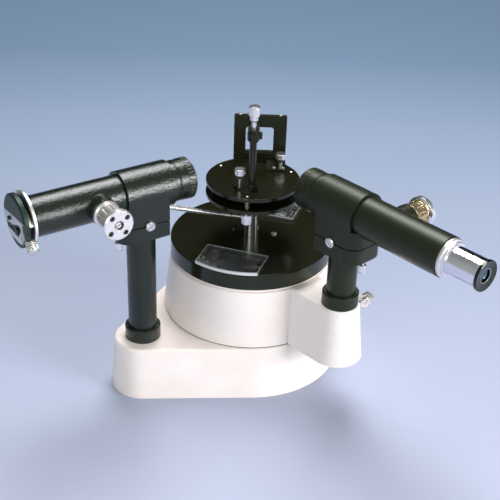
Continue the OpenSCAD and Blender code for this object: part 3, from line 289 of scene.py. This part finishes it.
def polar(tree, point):
    # angle in degrees and distance from the main axis
    parts = addNode(tree, "ShaderNodeSeparateXYZ", {"Vector": point}).outputs
    angle = addNode(tree, "ShaderNodeMath", {0: parts[1], 1: parts[0]}, operation="ARCTAN2").outputs[0]
    degrees = addNode(tree, "ShaderNodeMath", {0: angle, 1: math.degrees(1)}, operation="MULTIPLY")
    return degrees.outputs[0], heightAndRadius(tree, point)[1]


def clearSheet():
    # sawn clear plastic sheet: see-through faces with fine scuffs, and pale frosted sawn edges
    look = {
        "outerEdge": 0.0855,      # metres from the main axis; beyond it the sawn edge is frosted all over
        "topArris": 0.1479,       # metres up; the other edges are frosted only above this
        "softStep": 0.0002,
        "lowEdgeFrost": 0.15,
        "scuffMm": 2.2,
        "scuffDepthMm": 0.003,
        "faceAlpha": 0.24,        # the lower, the more plainly the circle shows
        "faceTransmission": 0.93,
        "edgeTransmission": 0.25,
        "edgeRoughness": 0.45,
        "faceColour": "#EDF4F2",
        "edgeColour": "#EEF3F6",
    }
    material, tree, shader = newMaterial("clearSheet", {
        "IOR": 1.49, "Coat Weight": 0.5, "Coat Roughness": 0.03})
    point = objectPoint(tree)
    normal = addNode(tree, "ShaderNodeNewGeometry").outputs["True Normal"]
    facingUp = addNode(tree, "ShaderNodeSeparateXYZ", {"Vector": normal}).outputs[2]
    level = addNode(tree, "ShaderNodeMath", {0: facingUp}, operation="ABSOLUTE")
    sawn = ramp(tree, level.outputs[0], 0.5, 0.8, 1, 0)
    height, radius = heightAndRadius(tree, point)
    outer = ramp(tree, radius, look["outerEdge"], look["outerEdge"] + look["softStep"], 0, 1)
    arrisEnd = look["topArris"] + 2 * look["softStep"]
    arris = ramp(tree, height, look["topArris"], arrisEnd, look["lowEdgeFrost"], 1)
    frosted = addNode(tree, "ShaderNodeMath", {0: outer, 1: arris}, operation="MAXIMUM")
    edge = addNode(tree, "ShaderNodeMath", {0: sawn, 1: frosted.outputs[0]}, operation="MULTIPLY").outputs[0]
    scuffs = noise(tree, point, look["scuffMm"], 5.0, 0.7)
    smooth = ramp(tree, scuffs, 0.5, 0.8, 0.02, 0.1)
    rough = addNode(tree, "ShaderNodeMath", {
        0: edge, 1: look["edgeRoughness"], 2: smooth}, operation="MULTIPLY_ADD")
    tree.links.new(rough.outputs[0], shader.inputs["Roughness"])
    clear = ramp(tree, edge, 0, 1, look["faceTransmission"], look["edgeTransmission"])
    tree.links.new(clear, shader.inputs["Transmission Weight"])
    tree.links.new(ramp(tree, edge, 0, 1, look["faceAlpha"], 1.0), shader.inputs["Alpha"])
    tone = blendColours(tree, edge, srgb(look["faceColour"]), srgb(look["edgeColour"]))
    tree.links.new(tone, shader.inputs["Base Color"])
    bumpFrom(tree, shader, scuffs, look["scuffDepthMm"])
    return material


def fromStep(tree, value, step):
    # distance of a value from its nearest whole step, as a share of the step
    turns = addNode(tree, "ShaderNodeMath", {0: value, 1: 1 / step}, operation="MULTIPLY")
    shifted = addNode(tree, "ShaderNodeMath", {0: turns.outputs[0], 1: 0.5}, operation="ADD")
    part = addNode(tree, "ShaderNodeMath", {0: shifted.outputs[0]}, operation="FRACT")
    off = addNode(tree, "ShaderNodeMath", {0: part.outputs[0], 1: 0.5}, operation="SUBTRACT")
    return addNode(tree, "ShaderNodeMath", {0: off.outputs[0]}, operation="ABSOLUTE").outputs[0]


def ruledScale(name, lineStep, innerMm, reaches, plain, ruled, offsetDegrees=0.0, silveredDegrees=None):
    # ruled metal: long, middle and short lines by a formula on the angle; a vernier is silvered in its middle
    look = {"lineMm": 0.11, "darkEnds": "#121614", "grainMm": 0.8, "grainDepthMm": 0.004, "edgeMm": 0.2}
    material, tree, shader = newMaterial(name, {"Metallic": 0.5, "Roughness": 0.4})
    point = objectPoint(tree)
    degrees, radius = polar(tree, point)
    shifted = addNode(tree, "ShaderNodeMath", {0: degrees, 1: -offsetDegrees}, operation="ADD").outputs[0]
    marks = None
    for steps, reachMm in zip((1, 5, 10), reaches):
        away = fromStep(tree, shifted, lineStep * steps)
        width = look["lineMm"] / math.radians(lineStep * steps) / innerMm
        line = addNode(tree, "ShaderNodeMath", {0: away, 1: width}, operation="LESS_THAN")
        lineEnd = (innerMm - reachMm) / 1000
        near = addNode(tree, "ShaderNodeMath", {0: radius, 1: lineEnd}, operation="GREATER_THAN")
        both = addNode(tree, "ShaderNodeMath", {
            0: line.outputs[0], 1: near.outputs[0]}, operation="MULTIPLY").outputs[0]
        marks = both if marks is None else addNode(
            tree, "ShaderNodeMath", {0: marks, 1: both}, operation="MAXIMUM").outputs[0]
    tone = blendColours(tree, marks, srgb(plain), srgb(ruled))
    if silveredDegrees:
        # the two verniers stand half a turn apart
        share = fromStep(tree, shifted, 180)
        outside = addNode(tree, "ShaderNodeMath", {
            0: share, 1: silveredDegrees / 180}, operation="GREATER_THAN")
        tone = blendColours(tree, outside.outputs[0], tone, srgb(look["darkEnds"]))
    tree.links.new(tone, shader.inputs["Base Color"])
    grain = noise(tree, point, look["grainMm"], 3.0)
    bumpFrom(tree, shader, grain, look["grainDepthMm"], roundedEdge(tree, look["edgeMm"]))
    return material


# Where the patterns of turned pieces are centred, in metres, and which way their axes lie

bearing = math.radians(-80.5)                      # the telescope's bearing at rest
axisHeight = 0.2347                                # both optical tubes
knobPlace = 0.1865                                 # the focusing knobs' distance from the main axis
mainAxis = {"centre": (0, 0, 0), "turn": (0, 0, 0)}
collimatorLine = {"centre": (0, 0, axisHeight), "turn": (0, math.pi / 2, 0)}
collimatorKnob = {"centre": (-knobPlace, 0, axisHeight), "turn": (-math.pi / 2, 0, 0)}
telescopeLine = {"centre": (0, 0, axisHeight), "turn": (0, math.pi / 2, bearing)}
telescopeKnob = {
    "centre": (knobPlace * math.cos(bearing), knobPlace * math.sin(bearing), axisHeight),
    "turn": (-math.pi / 2, 0, bearing),
}


# The finishes that several parts share

cream = creamStoveEnamel()
collimatorBlack = crinkleEnamel("blackCrinkleEnamel", "#12170F", "#1C251C", "#EEF3F2", 0.22, 1.8, 0.22)
telescopeBlack = crinkleEnamel("blackFineCrinkleEnamel", "#14170B", "#1C2011", "#D3E0C8", 0.38, 1.3, 0.035)
coverBlack = glossEnamel("blackGlossEnamel", "#18170B", 0.16)
tableBlack = glossEnamel("blackTableEnamel", "#18160A", 0.17)
matBlack = crinkleEnamel("blackSatinEnamel", "#15160A", "#1D1E11", "#B9CDB4", 0.3, 1.2, 0.02)
slitBlack = crinkleEnamel("blackSlitEnamel", "#17261E", "#1F3027", "#A3C2AC", 0.42, 1.2, 0.02)
plated = platedSteel("nickelPlatedSteel", "#E4E2DE", 0.24)
satinScrew = platedSteel("satinAluminiumScrew", "#F6F3F5", 0.15, 0.95, 1.2)
studSteel = platedSteel("zincPlatedScrew", "#D6D6D2", 0.26)
springSteel = platedSteel("springSteelWire", "#D8CFB4", 0.2)
jawSteel = platedSteel("groundSteelJaw", "#DDDAD5", 0.3)
glass = opticalGlass()
window = clearSheet()
circleScale = ruledScale("blackenedCircle", 0.5, 76.1, (4, 6, 8), "#141816", "#C9CBC6")
vernierScale = ruledScale("silveredVernier", 1.0, 83.4, (5, 6, 7), "#D3D6D4", "#1B1B1B", 38, 12)


# Parts of more than one tone

def heightAlong(material, line):
    # distance along a piece's own axis
    tree = material.node_tree
    return heightAndRadius(tree, objectPoint(tree, **line))[0]


def eyepieceMoulding():
    # black moulded cap; its shallow dish ends in a polished bezel round the eye lens
    look = {"bezelRadius": 0.0075, "softStep": 0.0002, "plastic": "#080B08", "bezel": "#A9ADA8"}
    material = glossEnamel("blackMouldedPlastic", look["plastic"], 0.14)
    tree = material.node_tree
    shader = tree.nodes["Principled BSDF"]
    radius = heightAndRadius(tree, objectPoint(tree, **telescopeLine))[1]
    within = ramp(tree, radius, look["bezelRadius"], look["bezelRadius"] + look["softStep"], 1, 0)
    tone = blendColours(tree, within, srgb(look["plastic"]), srgb(look["bezel"]))
    tree.links.new(tone, shader.inputs["Base Color"])
    tree.links.new(within, shader.inputs["Metallic"])
    return material


def splitKnob():
    # a fluted waist whose warm tone is a painted warm reflection, behind a satin front disc
    look = {"disc": "#F3F3F8", "waist": "#CBB794", "border": 0.0455}
    material = turnedMetal("turnedTelescopeKnob", look["disc"], 0.18, telescopeKnob,
                           ringMm=0.9, depthMm=0.002, metallic=0.95, grimeAndShadeMm=4)
    height = heightAlong(material, telescopeKnob)
    return splitAlong(material, height, look["border"], look["waist"], look["disc"])


def dialScrews():
    # bright screws on the cover; the ones that stand on the window sheets are browned
    look = {"bright": "#D8D8D4", "browned": "#3A3327", "border": 0.1466}
    material = platedSteel("dialScrewSteel", look["bright"], 0.26)
    height = heightAlong(material, mainAxis)
    return splitAlong(material, height, look["border"], look["bright"], look["browned"])


def studs():
    # shanks painted dark as the shade between the plates, bright where they end in the table
    look = {"shadedShank": "#211D16", "end": "#E2E2DE", "border": 0.2096}
    material = platedSteel("studSteel", look["end"], 0.26)
    height = heightAlong(material, mainAxis)
    return splitAlong(material, height, look["border"], look["shadedShank"], look["end"])


# The finish of every part

finishes = {
    "base_casting": cream,
    "drum_casting": cream,
    "base_plate": matBlack,
    "main_spindle": plated,
    "dial_cover": coverBlack,
    "dial_windows": window,
    "dial_screws": dialScrews(),
    "divided_circle": circleScale,
    "verniers": vernierScale,
    "table_hub": turnedMetal("chromedColumn", "#E2E2E2", 0.07, mainAxis, 0.6, 0.002),
    "table_rod": turnedMetal("turnedRod", "#C9C9C7", 0.2, mainAxis),
    "table_lever": plated,
    "table_lower_plate": tableBlack,
    "table_upper_plate": tableBlack,
    "levelling_springs": springSteel,
    "levelling_studs": studs(),
    "levelling_nut_front": satinScrew,
    "levelling_nut_right": satinScrew,
    "levelling_nut_back": satinScrew,
    "prism_clamp_post": tableBlack,
    "prism_clamp_arm": matBlack,
    "prism_clamp_screw": satinScrew,
    "post_thumb_screw": satinScrew,
    "grating_holder": matBlack,
    "grating_thumb_screw": satinScrew,
    "grating_screws": studSteel,
    "collimator_pillar": collimatorBlack,
    "collimator_foot_ring": collimatorBlack,
    "collimator_head": collimatorBlack,
    "collimator_saddle": collimatorBlack,
    "collimator_tube": collimatorBlack,
    "collimator_lens_cell": collimatorBlack,
    "collimator_lens": glass,
    "collimator_pivot_pin": plated,
    "collimator_jack_screw": studSteel,
    "collimator_levelling_screw": satinScrew,
    "collimator_draw_tube": turnedMetal("drawTubeBrass", "#B99B62", 0.3, collimatorLine),
    "collimator_focus_knob": turnedMetal("turnedKnob", "#F4F0EE", 0.26, collimatorKnob,
                                         ringMm=0.9, depthMm=0.003, metallic=0.85, grimeAndShadeMm=5),
    "slit_flange": turnedMetal("turnedFlange", "#F2F1EE", 0.34, collimatorLine, 0.6, 0.004),
    "slit_head": slitBlack,
    "slit_fixed_jaw": jawSteel,
    "slit_moving_jaw": jawSteel,
    "slit_screw": plated,
    "telescope_pillar": telescopeBlack,
    "telescope_foot_ring": telescopeBlack,
    "telescope_head": telescopeBlack,
    "telescope_saddle": telescopeBlack,
    "telescope_tube": telescopeBlack,
    "objective_cell": telescopeBlack,
    "objective_lens": glass,
    "telescope_pivot_pin": plated,
    "telescope_levelling_screw": satinScrew,
    "arm_clamp_knob": satinScrew,
    "telescope_draw_tube": turnedMetal("telescopeDrawBrass", "#B99B62", 0.3, telescopeLine),
    "draw_end_ring": turnedMetal("satinEndRing", "#F0EDEE", 0.32, telescopeLine, 0.6, 0.003),
    "cross_wire_ring": turnedMetal("wireRingBrass", "#B99B62", 0.3, telescopeLine),
    "telescope_focus_knob": splitKnob(),
    "eyepiece_barrel": turnedMetal("chromedBarrel", "#EFF0FA", 0.1, telescopeLine, 0.6, 0.0015),
    "eyepiece_cap": eyepieceMoulding(),
    "eyepiece_lenses": glass,
}
for name, material in finishes.items():
    mesh = nodes[name].data
    mesh.materials.clear()
    mesh.materials.append(material)
print("finishes given to", len(finishes), "parts; without one:", sorted(set(nodes) - set(finishes)))


# Wound springs of round wire, and plain numbers on the circle

springs = {
    "bearings": (-131, -11, 109),   # degrees, as the studs stand
    "circle": 44.0,                 # millimetres from here on
    "coil": 2.35,
    "wire": 0.4,
    "curls": 5,
    "rise": 0.8,                    # straight wire at each end
    "low": 199.5,
    "high": 209.4,
    "stepsPerCurl": 32,
    "sides": 10,
}
numbers = {
    "everyDegrees": 10,
    "radius": 65.4,
    "size": 3.4,
    "top": 134.1,
    "stand": 0.03,
    "middle": 0.35,                 # the digits' middle, as a share of their size above the base line
}


def newPiece(name, points, faces, material, body):
    mesh = bpy.data.meshes.new(name)
    mesh.from_pydata((np.asarray(points) / 1000).tolist(), [], faces)
    mesh.materials.append(material)
    piece = bpy.data.objects.new(name, mesh)
    bpy.context.scene.collection.objects.link(piece)
    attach(piece, body)
    return piece


def sweepTube(path, outward, radius, sides):
    # rings of points round a path: each ring spans the outward direction and the one square to it
    along = np.gradient(path, axis=0)
    along /= np.linalg.norm(along, axis=1, keepdims=True)
    outward = outward - (outward * along).sum(axis=1, keepdims=True) * along
    outward /= np.linalg.norm(outward, axis=1, keepdims=True)
    square = np.cross(along, outward)
    turn = np.linspace(0, 2 * np.pi, sides, endpoint=False)[None, :, None]
    rings = path[:, None] + radius * (np.cos(turn) * outward[:, None] + np.sin(turn) * square[:, None])
    last = len(path) - 1
    steps = [(j, (j + 1) % sides) for j in range(sides)]
    faces = [[i * sides + j, i * sides + k, (i + 1) * sides + k, (i + 1) * sides + j]
             for i in range(last) for j, k in steps]
    faces += [list(range(sides))[::-1], [last * sides + j for j in range(sides)]]
    return rings.reshape(-1, 3), faces


def turnedRows(angle):
    # multiplying rows of points by this turns them round the main axis
    return np.array([
        [math.cos(angle), math.sin(angle), 0], [-math.sin(angle), math.cos(angle), 0], [0, 0, 1]])


def makeSprings():
    # height climbs evenly while the wire goes round; a short straight end leads in and out
    low, high, rise = springs["low"], springs["high"], springs["rise"]
    fullTurn = 2 * np.pi * springs["curls"]
    share = np.linspace(0, 1, springs["curls"] * springs["stepsPerCurl"] + 1)
    angle = np.concatenate([[0, 0], share * fullTurn, [fullTurn, fullTurn]])
    climb = low + rise + share * (high - low - 2 * rise)
    height = np.concatenate([[low, low + rise / 2], climb, [high - rise / 2, high]])
    outward = np.stack([np.cos(angle), np.sin(angle), 0 * angle], axis=1)
    path = outward * springs["coil"]
    path[:, 2] = height
    points, faces = [], []
    skin, quads = sweepTube(path, outward, springs["wire"], springs["sides"])
    for bearingDegrees in springs["bearings"]:
        faces += [[i + len(points) * len(skin) for i in quad] for quad in quads]
        points.append((skin + [springs["circle"], 0, 0]) @ turnedRows(math.radians(bearingDegrees)))
    piece = newPiece("levellingSpringWires", np.concatenate(points), faces, springSteel, "table_springs")
    piece.data.shade_smooth()
    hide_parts("levelling_springs")


def makeNumbers():
    # each number is flattened to a mesh and laid on the circle, read from outside
    points, faces, start = [], [], 0
    foot = numbers["radius"] - numbers["size"] * numbers["middle"]
    height = numbers["top"] + numbers["stand"] / 2
    for degreesRound in range(0, 360, numbers["everyDegrees"]):
        curve = bpy.data.curves.new("number", "FONT")
        curve.body = str(degreesRound)
        curve.size = numbers["size"]
        curve.align_x = "CENTER"
        curve.extrude = numbers["stand"] / 2
        curve.resolution_u = 3
        holder = bpy.data.objects.new("number", curve)
        bpy.context.scene.collection.objects.link(holder)
        bpy.context.view_layer.update()
        glyph = bpy.data.meshes.new_from_object(holder)
        place = np.empty(len(glyph.vertices) * 3, np.float32)
        glyph.vertices.foreach_get("co", place)
        turn = math.radians(degreesRound)
        middle = [foot * math.cos(turn), foot * math.sin(turn), height]
        place = place.reshape(-1, 3) @ turnedRows(turn + math.pi / 2) + middle
        points.append(place)
        faces += [[i + start for i in polygon.vertices] for polygon in glyph.polygons]
        start += len(place)
        bpy.data.objects.remove(holder)
        bpy.data.curves.remove(curve)
        bpy.data.meshes.remove(glyph)
    ink = platedSteel("engravedNumberFill", "#C9CBC6", 0.5, 0.0)
    newPiece("circleNumbers", np.concatenate(points), faces, ink, "circle")


makeSprings()
makeNumbers()
print("springs and numbers made")


# Floor, sky and lamps

studio = {
    "awayFromViewer": (0.56, 0.83, 0),
    "nearColour": "#B9BDD4",
    "farColour": "#6C829D",
    "skyFront": "#C9D0CC",
    "skyBack": "#1B1E16",
    "skyStrength": 0.8,
    "backdrop": "#A3B3C8",
    "floorSide": 30,        # metres from the middle to each side
    "floorShadeRange": (-0.45, 0.95),  # metres away from the viewer, from the near colour to the far one
    "skyDims": (-0.6, 0.7),         # the same for the sky, as a share of the direction
    "paperMm": 3,
    "paperDepthMm": 0.02,
    "plainFrom": 0.7,       # metres from the object where the floor starts to be seen at its own plain tone
    "plainTo": 2.2,
    "plainStrength": 1.17,
    "lamps": [  # name, place, aim, size in metres, watts, colour
        ("overhead", (0.45, 0.60, 1.90), (-0.05, -0.05, 0.2), (0.9, 1.3), 42, "#FFFFFF"),
        ("frontRight", (0.95, -1.95, 0.66), (0.0, 0.0, 0.15), (1.0, 0.8), 48, "#FFFDFC"),
        ("frontLeft", (-1.9, -1.3, 1.2), (0.0, 0.0, 0.1), (1.1, 1.1), 13, "#FFFFFF"),
    ],
}


def seenRay(tree):
    # 1 for rays that show the background to the eye, directly, in gloss or through glass
    path = addNode(tree, "ShaderNodeLightPath").outputs
    seen = path["Is Camera Ray"]
    for kind in ("Is Glossy Ray", "Is Transmission Ray"):
        seen = addNode(tree, "ShaderNodeMath", {0: seen, 1: path[kind]}, operation="MAXIMUM").outputs[0]
    return seen


def makeFloor():
    side = studio["floorSide"]
    corners = [(-side, -side, 0), (side, -side, 0), (side, side, 0), (-side, side, 0)]
    mesh = bpy.data.meshes.new("floor")
    mesh.from_pydata(corners, [], [(0, 1, 2, 3)])
    floor = bpy.data.objects.new("floor", mesh)
    bpy.context.scene.collection.objects.link(floor)
    # pale paper, with painted shade that darkens it a little away from the viewer
    material, tree, shader = newMaterial("paleFloorPaper", {"Roughness": 0.9})
    point = objectPoint(tree)
    away = addNode(tree, "ShaderNodeVectorMath", {
        0: point, 1: studio["awayFromViewer"]}, operation="DOT_PRODUCT")
    depth = ramp(tree, away.outputs["Value"], *studio["floorShadeRange"], 0, 1)
    tone = blendColours(tree, depth, srgb(studio["nearColour"]), srgb(studio["farColour"]))
    tree.links.new(tone, shader.inputs["Base Color"])
    distance = addNode(tree, "ShaderNodeVectorMath", {0: point}, operation="LENGTH").outputs["Value"]
    far = ramp(tree, distance, studio["plainFrom"], studio["plainTo"], 0, 1)
    share = addNode(tree, "ShaderNodeMath", {0: far, 1: seenRay(tree)}, operation="MULTIPLY")
    plain = addNode(tree, "ShaderNodeEmission", {"Color": tone, "Strength": studio["plainStrength"]})
    both = addNode(tree, "ShaderNodeMixShader", {
        0: share.outputs[0], 1: shader.outputs[0], 2: plain.outputs[0]})
    tree.links.new(both.outputs[0], tree.nodes["Material Output"].inputs["Surface"])
    bumpFrom(tree, shader, noise(tree, point, studio["paperMm"], 3.0), studio["paperDepthMm"])
    mesh.materials.append(material)


def makeSky():
    world = bpy.data.worlds.new("sky")
    world.use_nodes = True
    # a pale room in front, a dim one behind, as a function of the direction
    tree = world.node_tree
    background = tree.nodes["Background"]
    direction = addNode(tree, "ShaderNodeTexCoord").outputs["Generated"]
    away = addNode(tree, "ShaderNodeVectorMath", {
        0: direction, 1: studio["awayFromViewer"]}, operation="DOT_PRODUCT")
    share = ramp(tree, away.outputs["Value"], *studio["skyDims"], 0, 1)
    colour = blendColours(tree, share, srgb(studio["skyFront"]), srgb(studio["skyBack"]))
    # the camera itself sees a plain backdrop
    seen = addNode(tree, "ShaderNodeLightPath").outputs["Is Camera Ray"]
    colour = blendColours(tree, seen, colour, srgb(studio["backdrop"]))
    tree.links.new(colour, background.inputs["Color"])
    background.inputs["Strength"].default_value = studio["skyStrength"]
    bpy.context.scene.world = world


def makeLamps():
    for name, place, target, size, watts, colour in studio["lamps"]:
        data = bpy.data.lights.new(name, "AREA")
        data.shape = "RECTANGLE"
        data.size, data.size_y = size
        data.energy = watts
        data.color = srgb(colour)[:3]
        lamp = bpy.data.objects.new(name, data)
        lamp.location = place
        aim = Vector(target) - Vector(place)
        lamp.rotation_euler = aim.to_track_quat("-Z", "Y").to_euler()
        bpy.context.scene.collection.objects.link(lamp)


makeFloor()
makeSky()
makeLamps()
bpy.context.scene.view_settings.view_transform = "Standard"
print("studio set")
